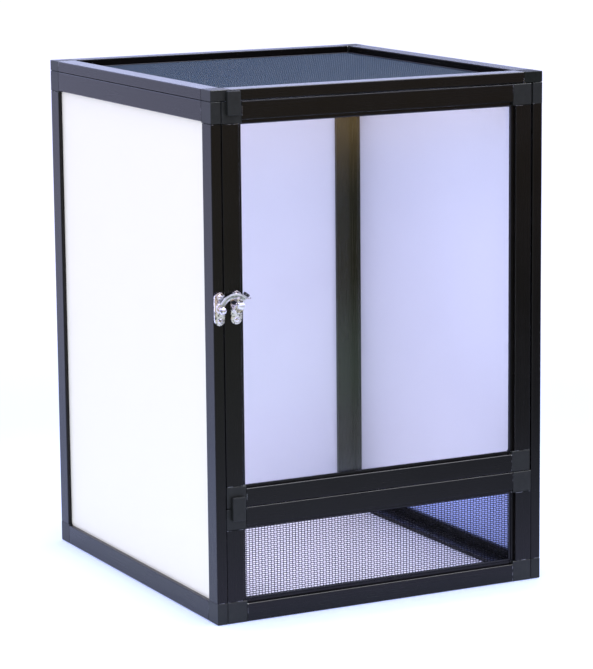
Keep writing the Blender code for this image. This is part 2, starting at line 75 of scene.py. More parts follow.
# %% [markdown]
# ## Shader maths in plain Python
# Nodes could be placed and linked one by one, but a node graph is easier to read as an
# expression. `Signal` wraps one socket and turns `+`, `-` and `*` into Math nodes.
# `Finish` holds one material: its `node` method adds any other node, sets its options
# first, and then fills its sockets by name or number.

# %% A socket that can be calculated with
class Signal:
    def __init__(self, finish, socket):
        self.finish = finish
        self.socket = socket

    def __add__(self, other):
        return self.finish.maths("ADD", self, other)

    def __radd__(self, other):
        return self.finish.maths("ADD", other, self)

    def __mul__(self, other):
        return self.finish.maths("MULTIPLY", self, other)

    def __rmul__(self, other):
        return self.finish.maths("MULTIPLY", other, self)

    def __sub__(self, other):
        return self.finish.maths("SUBTRACT", self, other)

    def __rsub__(self, other):
        return self.finish.maths("SUBTRACT", other, self)

    def between(self, low, high):
        # 0 below low, 1 above high, and a smooth step in between
        return self.finish.node(
            "ShaderNodeMapRange", {"interpolation_type": "SMOOTHSTEP"}, {0: self, 1: low, 2: high}
        )


# %% A material with named helpers
class Finish:
    def __init__(self, name, roughness=0.5, metallic=0.0, specular=0.5):
        self.material = bpy.data.materials.new(name)
        self.material.use_nodes = True
        self.tree = self.material.node_tree
        self.shader = self.tree.nodes["Principled BSDF"]
        self.shader.inputs["Roughness"].default_value = roughness
        self.shader.inputs["Metallic"].default_value = metallic
        self.shader.inputs["Specular IOR Level"].default_value = specular

    def fill(self, socket, value):
        if isinstance(value, Signal):
            self.tree.links.new(value.socket, socket)
        elif socket.type == "RGBA":
            socket.default_value = (*value, 1.0)
        else:
            socket.default_value = value

    def node(self, kind, settings, sockets, output=0):
        node = self.tree.nodes.new(kind)
        for setting, value in settings.items():
            setattr(node, setting, value)
        for socket, value in sockets.items():
            self.fill(node.inputs[socket], value)
        return Signal(self, node.outputs[output])

    def feed(self, socket, value):
        self.fill(self.shader.inputs[socket], value)

    def where(self):
        return self.node("ShaderNodeTexCoord", {}, {}, output="Object")

    def maths(self, operation, first, second):
        return self.node("ShaderNodeMath", {"operation": operation}, {0: first, 1: second})

    def along(self, axis):
        return self.node("ShaderNodeSeparateXYZ", {}, {0: self.where()}, output="XYZ".index(axis))

    def noise(self, scale, detail, stretch=(1.0, 1.0, 1.0), roughness=0.5):
        place = self.node("ShaderNodeMapping", {}, {"Vector": self.where(), "Scale": stretch})
        sockets = {"Vector": place, "Scale": scale, "Detail": detail, "Roughness": roughness}
        return self.node("ShaderNodeTexNoise", {}, sockets)

    def blend(self, share, first, second):
        # sockets 6 and 7 are the two colours of a Mix node, and output 2 is their mix
        sockets = {0: share, 6: first, 7: second}
        return self.node("ShaderNodeMix", {"data_type": "RGBA"}, sockets, output=2)

    def bump(self, height, strength, distance):
        sockets = {"Strength": strength, "Distance": distance, "Height": height}
        self.feed("Normal", self.node("ShaderNodeBump", {}, sockets))


# %% [markdown]
# ## Light tent
# The picture was made in bright, slightly blue light: everything white nearly burns out,
# and the whites inside the cage turn lavender. A single sky could do this, but it would
# leave the inside dull. So the world is a pale blue-white tent, and four soft lamps fill
# what it misses: a big one beside the camera, one overhead, and two weak ones inside the
# cage, which light its right wall and its floor. Neither the camera nor a reflection
# sees the lamps.

# %% World and lamps
SKY_COLOUR = (0.610, 0.640, 1.0)
SKY_STRENGTH = 1.72
FILL_COLOUR = (0.62, 0.66, 1.0)
LOW_COLOUR = (1.0, 0.88, 0.95)

bpy.context.scene.view_settings.view_transform = "Standard"
world = bpy.data.worlds.new("light_tent")
bpy.context.scene.world = world
world.use_nodes = True
sky = world.node_tree.nodes["Background"]
sky.inputs["Color"].default_value = (*SKY_COLOUR, 1.0)
sky.inputs["Strength"].default_value = SKY_STRENGTH


def soft_box(name, place, target, size, power, colour=FILL_COLOUR, spread=180):
    light = bpy.data.lights.new(name, "AREA")
    light.shape = "RECTANGLE"
    light.size, light.size_y = size
    light.energy = power
    light.color = colour
    light.spread = radians(spread)
    lamp = bpy.data.objects.new(name, light)
    lamp.location = place
    lamp.rotation_euler = (Vector(target) - Vector(place)).to_track_quat("-Z", "Y").to_euler()
    lamp.visible_glossy = False
    lamp.visible_camera = False
    bpy.context.collection.objects.link(lamp)
    print(name, "gives", power, "W")


soft_box("front_box", (-1.2, -3.5, 1.2), target=(0.0, 0.0, 0.32), size=(2.0, 2.0), power=12.0)
soft_box("overhead_box", (-0.1, -0.4, 2.4), target=(0.0, 0.0, 0.3), size=(1.4, 1.4), power=30.0)
soft_box("inner_box", (-0.18, -0.12, 0.36), target=(0.82, 0.16, 0.36), size=(0.18, 0.44), power=0.70)
soft_box(
    "low_box", (0.0, 0.0, 0.15), target=(0.0, 0.001, 0.0), size=(0.34, 0.36), power=0.14,
    colour=LOW_COLOUR, spread=80,
)

# %% [markdown]
# ## White floor
# The cage stands on white paper that runs on behind it. A plain white plane would turn
# grey in the cage's shade, and blue further off where only the tent lights it. So its
# colour is a little cool near the cage and warm far away, and it glows faintly around
# the cage. Colour and glow change with the distance from the middle.

# %% A plane of the stage
def stage_plane(name, finish, low, high, place):
    bm = bmesh.new()
    bmesh.ops.create_grid(bm, x_segments=1, y_segments=1, size=0.5)
    bmesh.ops.scale(bm, verts=bm.verts, vec=(high[0] - low[0], high[1] - low[1], 1.0))
    middle = ((low[0] + high[0]) / 2, (low[1] + high[1]) / 2, 0.0)
    bmesh.ops.translate(bm, verts=bm.verts, vec=middle)
    bmesh.ops.transform(bm, verts=bm.verts, matrix=place)
    mesh = bpy.data.meshes.new(name)
    bm.to_mesh(mesh)
    bm.free()
    mesh.materials.append(finish.material)
    plane = bpy.data.objects.new(name, mesh)
    bpy.context.collection.objects.link(plane)
    print(name, "measures", [round(high[axis] - low[axis], 2) for axis in (0, 1)], "m")
    return plane


# %% The paper
BLACK = (0.0, 0.0, 0.0)
NEAR_PAPER = (0.76, 0.82, 0.81)
FAR_PAPER = (0.97, 0.95, 0.85)
PAPER_GLOW = (0.19, 0.225, 0.37)

floor_finish = Finish("studio_floor", roughness=0.9)
from_middle = floor_finish.node(
    "ShaderNodeVectorMath", {"operation": "LENGTH"}, {0: floor_finish.where()}, output=1
)
far = from_middle.between(0.9, 2.2)
floor_finish.feed("Base Color", floor_finish.blend(far, NEAR_PAPER, FAR_PAPER))
glow = 1.0 - from_middle.between(0.30, 0.95)
floor_finish.feed("Emission Color", floor_finish.blend(glow, BLACK, PAPER_GLOW))
floor_finish.shader.inputs["Emission Strength"].default_value = 1.0
floor_place = Matrix.Translation((0.0, 0.0, -0.0005))
stage_plane("studio_floor", floor_finish, (-9.0, -9.0), (9.0, 9.0), floor_place)

# %% [markdown]
# ## Cards for the reflections
# Black gloss shows little but what it mirrors, and the front of the cage faced a dim
# room: pale paper near it, brown further off. That room could be built, but glowing cards
# that only reflections can see do the same. One stands for its floor, in bands of colour
# that darken towards the right, and a low one for its far wall. One overhead draws the
# bright lines along the rounded upper edges. One behind the cage is mirrored in the flat
# tops: the left and the front rail show its bright part, the back and the right rail its
# dark one.

# %% A glowing card
upright = Matrix.Rotation(pi / 2, 4, "X")


def glowing(name, colour=BLACK):
    finish = Finish(name, roughness=1.0, specular=0.0)
    finish.feed("Base Color", BLACK)
    finish.feed("Emission Color", colour)
    finish.shader.inputs["Emission Strength"].default_value = 1.0
    return finish


def card(name, finish, low, high, place):
    plane = stage_plane(name, finish, low, high, place)
    plane.visible_camera = False
    plane.visible_diffuse = False
    plane.visible_transmission = False
    plane.visible_shadow = False


# %% The room's floor and wall
CAGE_FRONT = -0.22
# for each metre away from the cage, what the front mirrors lies this far to the right
MIRRORED_SLOPE = 0.52
# from a band's first distance to its second one, the colour so far turns into its own
ROOM_START = (1.05, 1.10, 1.72)
ROOM_BANDS = (
    (0.05, 0.35, (0.88, 0.98, 1.35)), (0.35, 0.80, (0.62, 0.67, 0.70)), (0.80, 1.20, (0.62, 0.76, 0.66)),
    (1.20, 2.20, (0.34, 0.34, 0.24)), (2.90, 4.80, (1.15, 0.80, 0.36)),
)

room = glowing("dim_room")
away = CAGE_FRONT - room.along("Y")
room_colour = ROOM_START
for band_start, band_end, band_colour in ROOM_BANDS:
    room_colour = room.blend(away.between(band_start, band_end), room_colour, band_colour)
mirrored_from = room.along("X") - away * MIRRORED_SLOPE
shade = mirrored_from.between(-0.15, 0.25) * away.between(0.1, 1.2) * (0.92 - away.between(2.8, 4.8))
room.feed("Emission Color", room.blend(shade, room_colour, BLACK))
card("dim_room_floor", room, (-9.0, -6.0), (9.0, -0.26), Matrix.Translation((0.0, 0.0, 0.002)))
wall = glowing("dim_wall", (0.30, 0.22, 0.15))
card("dim_room_wall", wall, (-9.0, 0.0), (9.0, 1.6), Matrix.Translation((0.0, -6.0, 0.0)) @ upright)

# %% The bright cards overhead and behind
SLANT = 0.079

bright = glowing("bright_overhead", (12.0, 12.2, 13.0))
card("bright_overhead", bright, (0.3, -1.9), (2.2, 0.3), Matrix.Translation((0.0, 0.0, 2.8)))
behind = glowing("bright_behind")
lit = (behind.along("Z") - behind.along("X") * SLANT).between(0.842, 0.858)
behind.feed("Emission Color", behind.blend(lit, (0.05, 0.07, 0.11), (1.8, 1.95, 2.9)))
card("bright_behind", behind, (-2.0, 0.66), (6.0, 2.2), Matrix.Translation((0.0, 4.0, 0.0)) @ upright)

# %% [markdown]
# ## Black rails
# The rails are drawn aluminium with a black anodised skin. One finish could serve them
# all, but drawing leaves fine lines along each rail, and a saw leaves a thin line of bare
# metal here and there around each end. So every rail gets its own version, with noise
# stretched along its own direction and the places of its two ends. Where a corner key is
# fused to a rail, that stretch looks like the moulded keys. The back and the right rail
# of the top have lost most of their gloss, like the two keys there: they stay dark where
# the others mirror the light behind the cage.

# %% Colours and ends of the rails
RAIL_BLACK = (0.0022, 0.0017, 0.0010)
RAIL_WORN = (0.0062, 0.0052, 0.0040)
BARE_METAL = (0.55, 0.55, 0.54)
KEY_GREY = (0.0170, 0.0180, 0.0120)
KEY_DARK = (0.0060, 0.0068, 0.0042)
RAIL_GLOSS = 0.25
KEY_GLOSS = 0.30
DULL_GLOSS = 0.04
CUT_LINE = 0.0004
KEY_LENGTH = 0.0248
DULL_PIECES = ("top_back_rail", "top_right_rail", "top_key_back_right", "top_key_front_right")
KEY_AT_LOW_END = (
    "right_bottom_rail", "right_back_stile", "back_left_stile", "back_top_rail", "floor_back_rail",
    "floor_left_rail",
)
KEY_AT_HIGH_END = (
    "right_top_rail", "right_front_stile", "back_bottom_rail", "back_right_stile", "floor_right_rail",
    "floor_front_rail",
)
print(len(KEY_AT_LOW_END + KEY_AT_HIGH_END), "rails carry a corner key of their own")

# %% The rails' finish
def rail_finish(name):
    low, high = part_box(name)
    sizes = [high[axis] - low[axis] for axis in range(3)]
    axis = sizes.index(max(sizes))
    start = low[axis] + (KEY_LENGTH if name in KEY_AT_LOW_END else 0.0)
    end = high[axis] - (KEY_LENGTH if name in KEY_AT_HIGH_END else 0.0)
    finish = Finish(f"black_anodised_{name}", specular=DULL_GLOSS if name in DULL_PIECES else RAIL_GLOSS)
    stretch = [60.0, 60.0, 60.0]
    stretch[axis] = 0.8
    lines = finish.noise(12.0, 4.0, tuple(stretch), 0.6)
    clouds = finish.noise(16.0, 3.0)
    specks = finish.noise(900.0, 2.0).between(0.68, 0.78)
    along = finish.along("XYZ"[axis])
    on_rail = finish.maths("GREATER_THAN", along, start) * finish.maths("LESS_THAN", along, end)
    inside = (along - start).between(0.0, CUT_LINE) * (end - along).between(0.0, CUT_LINE)
    cut = (on_rail - inside) * finish.noise(170.0, 2.0).between(0.50, 0.62)
    black = finish.blend(clouds * 0.55 + specks * 0.4, RAIL_BLACK, RAIL_WORN)
    moulded = finish.blend(clouds, KEY_DARK, KEY_GREY)
    finish.feed("Base Color", finish.blend(cut, finish.blend(on_rail, moulded, black), BARE_METAL))
    finish.feed("Metallic", cut)
    finish.feed("Roughness", 0.42 - on_rail * 0.22 + lines * 0.08 + clouds * 0.05)
    finish.bump(lines + specks * 0.3, 0.22, 0.00008)
    return finish.material


# %% [markdown]
# ## Corner keys and stops
# The keys are moulded in black plastic, a shade greyer and duller than the rails, with
# the fine grain of a spark-eroded mould. Its bumps are far too small to model, so fine
# noise in the bump gives that grain.

# %% The keys' finish
def moulded_finish(name, specular):
    finish = Finish(name, specular=specular)
    clouds = finish.noise(210.0, 4.0)
    finish.feed("Base Color", finish.blend(clouds, KEY_DARK, KEY_GREY))
    finish.feed("Roughness", 0.40 + clouds * 0.10)
    finish.bump(finish.noise(1500.0, 2.0), 0.35, 0.00012)
    return finish


key_finish = moulded_finish("moulded_black", KEY_GLOSS)
dull_key_finish = moulded_finish("moulded_black_dull", DULL_GLOSS)
print("key finishes:", key_finish.material.name, dull_key_finish.material.name)

# %% [markdown]
# ## White PVC
# The walls are foamed PVC sheet with a smooth skin. It is white but never quite even: a faint orange-peel
# ripple bends the highlights, and light marks change its gloss. Two places need their own base colour,
# chosen by position. The outer skins look plain white in the photograph, so a warm one, painted against
# the blue light of the tent, cancels that blue there. And low down on the right wall, under the slanted
# line where the shade of the door's bottom rail begins, that shade is painted in as a blue base colour.

# %% The sheets' finish
PVC_WHITE = (0.850, 0.842, 0.845)
PVC_SHADE = (0.830, 0.822, 0.828)
PVC_WARM = (0.875, 0.815, 0.570)
PAINTED_SHADE_BLUE = (0.50, 0.60, 1.0)
OUTER_SKIN = 0.2088
SHADE_SLOPE = 0.22

sheet_finish = Finish("white_pvc", specular=0.40)
peel = sheet_finish.noise(240.0, 2.0)
marks = sheet_finish.noise(9.0, 4.0)
across, deep, high = (sheet_finish.along(axis) for axis in "XYZ")
outside = sheet_finish.maths("GREATER_THAN", across * across, OUTER_SKIN * OUTER_SKIN)
indoors = sheet_finish.maths("LESS_THAN", deep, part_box("back_sheet")[0][1] + 0.001)
in_shade = 1.0 - (high + deep * SHADE_SLOPE).between(0.065, 0.100)
skin = sheet_finish.blend(marks.between(0.45, 0.75), PVC_WHITE, PVC_SHADE)
# painted shade: low on the inside of the right wall, under the slanted line, the base colour turns blue
skin = sheet_finish.blend(across.between(0.165, 0.205) * in_shade * indoors, skin, PAINTED_SHADE_BLUE)
# painted against the tent's blue light: the outer skins get a warm base colour
sheet_finish.feed("Base Color", sheet_finish.blend(outside, skin, PVC_WARM))
sheet_finish.feed("Roughness", 0.34 + marks * 0.12)
sheet_finish.bump(peel, 0.10, 0.0003)
print("sheet finish:", len(sheet_finish.tree.nodes), "nodes")

# %% [markdown]
# ## Door pane
# A clear pane is almost nothing but its reflections. Real glass would bend the light and
# needs many samples, so the finish is a white mirror whose alpha says how much each face
# of the pane reflects: 4% of the room face on and more at a slant. The rest goes straight
# through. The slant is the Facing output of Layer Weight, which is the same from both
# sides, where Fresnel would turn the back of the pane into a mirror. Faint smears add a
# little haze.

# %% The pane's finish
FACE_ON = 0.043

pane_finish = Finish("clear_pane", metallic=1.0)
slant = pane_finish.node("ShaderNodeLayerWeight", {}, {"Blend": 0.5}, output=1)
mirrored = FACE_ON + pane_finish.maths("POWER", slant, 5.0) * (1.0 - FACE_ON)
smears = pane_finish.noise(7.0, 5.0, (1.0, 1.0, 0.35)).between(0.50, 0.80)
pane_finish.feed("Base Color", (0.94, 0.96, 0.98))
pane_finish.feed("Alpha", mirrored + smears * 0.012)
pane_finish.feed("Roughness", 0.02 + smears * 0.10)
print("pane finish:", len(pane_finish.tree.nodes), "nodes")

# %% [markdown]
# ## Metals of the latch and the hinge
# The latch is zinc cast in a mould and plated, so it is bright but softly waved, with dark tarnish in
# spots. Thumbs have polished its knob and rim. Its band is duller, and its darker colour is painted shade
# of the recess it lies in. Its pad is painted near black, a painted dark reflection. One finish with masks
# could do it all, but the pieces are separate, so each kind of surface gets its own. The hinge pins are
# plain steel.

# %% Finishes of the metals
plated_finish = Finish("plated_zinc", metallic=1.0)
waves = plated_finish.noise(420.0, 3.0)
tarnish = plated_finish.noise(380.0, 4.0).between(0.50, 0.64)
plated_finish.feed("Base Color", plated_finish.blend(tarnish, (0.97, 0.92, 0.93), (0.20, 0.20, 0.20)))
plated_finish.feed("Roughness", 0.20 + waves * 0.14)
plated_finish.bump(waves, 0.55, 0.0004)

knob_finish = Finish("polished_zinc", metallic=1.0)
polish = knob_finish.noise(90.0, 2.0)
knob_finish.feed("Base Color", knob_finish.blend(polish, (0.97, 0.97, 0.97), (0.88, 0.88, 0.90)))
knob_finish.feed("Roughness", 0.28 + polish * 0.10)

band_finish = Finish("dull_zinc_painted_shade", metallic=1.0)
dulling = band_finish.noise(300.0, 3.0)
# painted shade: the band's darker colour stands in for the shade of its recess, while its higher roughness
# is real dulling
band_colour_painted_shade = band_finish.blend(dulling.between(0.4, 0.6), (0.62, 0.66, 0.62), (0.30, 0.33, 0.31))
band_finish.feed("Base Color", band_colour_painted_shade)
band_finish.feed("Roughness", 0.30 + dulling * 0.14)
band_finish.bump(dulling, 0.40, 0.0003)

pad_reflection_finish = Finish("zinc_painted_dark_reflection", metallic=1.0)
pad_grain = pad_reflection_finish.noise(500.0, 3.0).between(0.42, 0.62)
# painted dark reflection: the pad's near black stands in for the dark that the plated metal mirrors
pad_reflection_finish.feed("Base Color", pad_reflection_finish.blend(pad_grain, (0.03, 0.03, 0.035), (0.35, 0.36, 0.38)))
pad_reflection_finish.feed("Roughness", 0.35 + pad_grain * 0.15)

steel_finish = Finish("plain_steel", metallic=1.0)
turning = steel_finish.noise(300.0, 3.0, (1.0, 1.0, 12.0))
steel_finish.feed("Base Color", steel_finish.blend(turning, (0.50, 0.50, 0.52), (0.38, 0.38, 0.40)))
steel_finish.feed("Roughness", 0.25 + turning * 0.15)
metals = (plated_finish, knob_finish, band_finish, pad_reflection_finish, steel_finish)
print("metals:", [finish.material.name for finish in metals])

# %% [markdown]
# ## Screen wire and rubber
# The screen wire has a dark coat. On the top, which is seen at a low angle, it is blue-grey: a painted
# sheen for the light it catches there. The vent's wire, seen face on against the pale floor, stays nearly
# black, so it has a version of its own. The beads and the gasket are matt rubber.

# %% Their finishes
def wire_coat(name, specular, dark, pale):
    finish = Finish(name, specular=specular)
    coat = finish.noise(120.0, 3.0)
    finish.feed("Base Color", finish.blend(coat, dark, pale))
    finish.feed("Roughness", 0.36 + coat * 0.12)
    return finish


# painted sheen: the top wire's blue-grey colour stands in for the sky it reflects at a low angle
wire_finish = wire_coat("coated_wire", 0.30, (0.002, 0.018, 0.034), (0.005, 0.030, 0.052))
vent_wire_finish = wire_coat("coated_wire_dark", 0.06, (0.0010, 0.0012, 0.0018), (0.0016, 0.0020, 0.0030))

bead_finish = Finish("rubber_bead", specular=0.3)
bead_grain = bead_finish.noise(700.0, 2.0)
bead_finish.feed("Base Color", bead_finish.blend(bead_grain, (0.010, 0.010, 0.012), (0.018, 0.018, 0.020)))
bead_finish.feed("Roughness", 0.55 + bead_grain * 0.15)
print("materials so far:", len(bpy.data.materials))

# %% [markdown]
# ## Dress the solids
# A solid whose shape is right only needs its finish. Each could be dressed by hand, but
# the names say what every piece is, so a small function chooses.

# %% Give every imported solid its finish
def look_for(name):
    if "_key_" in name and name in DULL_PIECES:
        return dull_key_finish.material
    if "_key_" in name or "_stop_" in name:
        return key_finish.material
    if name.endswith("_sheet"):
        return sheet_finish.material
    if name == "door_pane":
        return pane_finish.material
    if name.endswith("_screen"):
        return wire_finish.material
    if name.startswith("hinge_pin"):
        return steel_finish.material
    if name.startswith("latch_"):
        return plated_finish.material
    return rail_finish(name)


for name, solid in nodes.items():
    material = look_for(name)
    for slot in solid.material_slots:
        slot.material = material
print("dressed", len(nodes), "solids")

# %% [markdown]
# ## From mesh to piece
# Every new shape is built in a bmesh where it belongs, so its object can stay at the
# origin. `add_piece` turns the bmesh into an object, finishes it, and lets it ride on
# the body that carries it. `stand_up` turns a shape that was drawn flat, with Z towards
# the reader, to face the front of the cage, and moves it to its place.

# %% Make a piece
def add_piece(name, bm, finish, body, replaced=(), smooth=35.0):
    mesh = bpy.data.meshes.new(name)
    bm.to_mesh(mesh)
    bm.free()
    mesh.shade_smooth()
    mesh.set_sharp_from_angle(angle=radians(smooth))
    mesh.materials.append(finish.material)
    piece = bpy.data.objects.new(name, mesh)
    bpy.context.collection.objects.link(piece)
    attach(piece, body)
    if replaced:
        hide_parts(*replaced)
    print(f"{name}: {len(mesh.polygons)} faces")


def turn_about(bm, matrix):
    bmesh.ops.rotate(bm, verts=bm.verts, cent=(0, 0, 0), matrix=matrix)


def move(bm, vector):
    bmesh.ops.translate(bm, verts=bm.verts, vec=vector)


def stand_up(bm, place):
    turn_about(bm, Matrix.Rotation(pi / 2, 3, "X"))
    move(bm, place)


def middle_and_size(node):
    low, high = (Vector(corner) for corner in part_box(node))
    return (low + high) / 2, high - low


# %% [markdown]
# ## Woven screens
# A screen is a plain weave: each wire passes over one crossing wire and under the next. A
# picture of mesh on a flat sheet would look wrong from near by, so the wires are real. One
# wavy wire is made from a stretched prism whose long edges are cut at every crossing, and
# copies of it, with every second one mirrored, fill the opening. Counting the rows and
# columns in the photograph gives 2.4 mm from row to row and 4 mm from column to column,
# with thick coated wire.

# %% One wavy wire and its copies
WIRE_RADIUS = 0.00042
WARP_PITCH = 0.00397
WEFT_PITCH = 0.00242


def wavy_wire(length, crossings, side):
    # a four-sided wire along Z that waves in Y, one half wave for each crossing
    bm = bmesh.new()
    bmesh.ops.create_cone(
        bm, cap_ends=True, cap_tris=False, segments=4, radius1=WIRE_RADIUS, radius2=WIRE_RADIUS,
        depth=length,
    )
    long_edges = [edge for edge in bm.edges if abs(edge.verts[0].co.z - edge.verts[1].co.z) > length / 2]
    bmesh.ops.subdivide_edges(bm, edges=long_edges, cuts=crossings - 1, use_grid_fill=True)
    for vert in bm.verts:
        step = round((vert.co.z / length + 0.5) * crossings)
        vert.co.y += side * WIRE_RADIUS * (1 if step % 2 else -1)
    return bm


def weave(length, crossings, spread, count):
    # count wires side by side along X, every second one waving the other way
    bm = bmesh.new()
    step = spread / count
    for parity in (0, 1):
        single = wavy_wire(length, crossings, 1 - 2 * parity)
        move(single, ((parity + 0.5) * step - spread / 2, 0.0, 0.0))
        wire = bpy.data.meshes.new("one_wire")
        single.to_mesh(wire)
        single.free()
        for _ in range(parity, count, 2):
            bm.from_mesh(wire)
            wire.transform(Matrix.Translation((2 * step, 0.0, 0.0)))
        bpy.data.meshes.remove(wire)
    return bm


def lay_cloth(node, middle, across, along, turn, finish):
    # two layers of wire for one opening
    columns = round(across / WARP_PITCH)
    rows = round(along / WEFT_PITCH)
    warp = weave(along, rows, across, columns)
    weft = weave(across, columns, along, rows)
    turn_about(weft, Matrix.Rotation(pi / 2, 3, "Y"))
    for suffix, bm in (("warp", warp), ("weft", weft)):
        turn_about(bm, turn)
        move(bm, middle)
        bmesh.ops.recalc_face_normals(bm, faces=bm.faces)
        add_piece(f"{node}_{suffix}", bm, finish, "cabinet", (node,), smooth=100.0)
    print(node, "has", columns, "by", rows, "wires")


# %% [markdown]
# ## Bead around each screen
# The cloth is held by a rubber bead pressed into the groove. Its rounded edge shows as a
# thin dark line around the wire. A profile could be swept around the opening, but the bead
# is flat and straight, so a flat ring is made by an inset, gets its depth, and has the
# edges around its opening rounded.

# %% Ring-shaped beads
BEAD_WIDTH = 0.0016
BEAD_TUCK = 0.0011
BEAD_ROUNDING = 0.0007
# from a rail's outer side to the edge of the screen, which lies deep in the groove
SCREEN_EDGE = 0.0176


def edge_lies_inside(edge, width, height, depth):
    near = all(abs(vert.co.x) < width / 2 and abs(vert.co.y) < height / 2 for vert in edge.verts)
    return near and abs(edge.verts[0].co.z - edge.verts[1].co.z) < depth / 2


def bead_ring(width, height, border, depth, rounding):
    bm = bmesh.new()
    bmesh.ops.create_grid(bm, x_segments=1, y_segments=1, size=0.5)
    bmesh.ops.scale(bm, verts=bm.verts, vec=(width, height, 1.0))
    bmesh.ops.inset_individual(bm, faces=bm.faces[:], thickness=border, use_even_offset=True)
    middle = min(bm.faces, key=lambda face: face.calc_center_median().length)
    bmesh.ops.delete(bm, geom=[middle], context="FACES_ONLY")
    grown = bmesh.ops.extrude_face_region(bm, geom=bm.faces[:])
    verts = [item for item in grown["geom"] if isinstance(item, bmesh.types.BMVert)]
    bmesh.ops.translate(bm, verts=verts, vec=(0.0, 0.0, depth))
    move(bm, (0.0, 0.0, -depth / 2))
    rims = [edge for edge in bm.edges if edge_lies_inside(edge, width - border, height - border, depth)]
    bmesh.ops.bevel(
        bm, geom=rims, offset=rounding, segments=3, profile=0.5, affect="EDGES", material=-1
    )
    bmesh.ops.recalc_face_normals(bm, faces=bm.faces)
    return bm


# %% Lay both screens and their beads
def fill_opening(node, rail, turn, cloth_turn, finish):
    # the opening is what the four rails leave free, and the bead shows around it
    middle, size = middle_and_size(node)
    width, height, depth = (abs(value) for value in turn.inverted() @ size)
    _, rail_size = middle_and_size(rail)
    hidden = sorted(rail_size)[1] - SCREEN_EDGE
    opening = (width - 2 * hidden - 2 * BEAD_WIDTH, height - 2 * hidden - 2 * BEAD_WIDTH)
    print(node, "opening", [round(value, 4) for value in opening])
    lay_cloth(node, middle, opening[0] + BEAD_TUCK, opening[1] + BEAD_TUCK, cloth_turn, finish)
    outer = (opening[0] + 2 * BEAD_WIDTH + BEAD_TUCK, opening[1] + 2 * BEAD_WIDTH + BEAD_TUCK)
    bead = bead_ring(*outer, BEAD_WIDTH + BEAD_TUCK / 2, depth * 0.98, BEAD_ROUNDING)
    turn_about(bead, turn)
    move(bead, middle)
    add_piece(f"{node}_bead", bead, bead_finish, "cabinet", (node,))


facing_front = Matrix.Rotation(pi / 2, 3, "X")
facing_up = Matrix.Identity(3)
lying_down = Matrix.Rotation(-pi / 2, 3, "X")
fill_opening("vent_screen", "vent_top_rail", facing_front, facing_up, vent_wire_finish)
fill_opening("top_screen", "top_left_rail", facing_up, lying_down, wire_finish)

# %% [markdown]
# ## Gasket of the door pane
# A thin black gasket seals the pane against the lip of the door's rails. It also stands in for painted
# shade along the pane's edge, so each strip is as wide as that shade: it shows most at the right and the
# top, and not at all at the bottom. It could be one ring, like the beads, but the widths differ, so each
# side is a bar with rounded edges.

# %% The gasket's three strips
def rounded_bar(size, place, rounding):
    bm = bmesh.new()
    bmesh.ops.create_cube(bm, size=1.0)
    bmesh.ops.scale(bm, verts=bm.verts, vec=size)
    bmesh.ops.bevel(
        bm, geom=bm.edges[:], offset=rounding, segments=2, profile=0.5, affect="EDGES", material=-1
    )
    move(bm, place)
    return bm


FRONT_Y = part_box("door_top_rail")[0][1]
LIP_FRONT = 0.0046
GASKET_DEPTH = 0.0015
CLEAR = 0.0001
TOP_STRIP, LEFT_STRIP, RIGHT_STRIP = 0.0014, 0.0006, 0.0022

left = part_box("door_latch_stile")[1][0] + CLEAR
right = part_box("door_hinge_stile")[0][0] - CLEAR
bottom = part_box("door_bottom_rail")[1][2] + CLEAR
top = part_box("door_top_rail")[0][2] - CLEAR
under_top = top - TOP_STRIP - CLEAR
gasket_y = FRONT_Y + LIP_FRONT + CLEAR + GASKET_DEPTH / 2
# each strip is a real black gasket, made as wide as the shade along the pane's edge, which it also paints
# in
for name, low, high in (
    ("top", (left, top - TOP_STRIP), (right, top)),
    ("left", (left, bottom), (left + LEFT_STRIP, under_top)),
    ("right", (right - RIGHT_STRIP, bottom), (right, under_top)),
):
    size = (high[0] - low[0], GASKET_DEPTH, high[1] - low[1])
    place = ((low[0] + high[0]) / 2, gasket_y, (low[1] + high[1]) / 2)
    add_piece(f"door_gasket_{name}", rounded_bar(size, place, 0.0002), bead_finish, "door")

# %% [markdown]
# ## Latch castings
# The latch is three small castings: a keeper on the cabinet, a base on the door, and a
# crescent that turns on the base. The solids of the first two have the right outline but
# knife-sharp edges, and a casting never has those. They could be modelled again, but
# rounding is enough: each solid's mesh is copied, its loose triangles are merged back
# into flat faces, and every sharp edge is rounded.

# %% Round the edges of the solids
def rounded_copy(node, width):
    bm = bmesh.new()
    bm.from_mesh(nodes[node].data)
    bmesh.ops.remove_doubles(bm, verts=bm.verts, dist=0.000002)
    bmesh.ops.dissolve_limit(bm, angle_limit=radians(2.0), verts=bm.verts, edges=bm.edges)
    sharp = [edge for edge in bm.edges if edge.calc_face_angle(0.0) > radians(34.0)]
    bmesh.ops.bevel(
        bm, geom=sharp, offset=width, segments=3, profile=0.5, affect="EDGES",
        material=-1, clamp_overlap=True,
    )
    return bm


def open_edges(bm):
    return sum(1 for edge in bm.edges if len(edge.link_faces) != 2)


def show_casting(node, casting, body):
    print(node, "casting has", open_edges(casting), "open edges")
    add_piece(f"{node}_casting", casting, plated_finish, body, (node,))


PLATE_FRONT = 0.0021
KEEPER_RISE = 0.0010

base_casting = rounded_copy("latch_base", 0.0006)
show_casting("latch_base", base_casting, "door")
keeper_casting = rounded_copy("latch_keeper", 0.0007)
for vert in keeper_casting.verts:
    # the keeper is a thicker casting than its plain solid, so its front face moves forwards
    if 0.0012 < FRONT_Y - vert.co.y < PLATE_FRONT + 0.0003:
        vert.co.y -= KEEPER_RISE
show_casting("latch_keeper", keeper_casting, "cabinet")

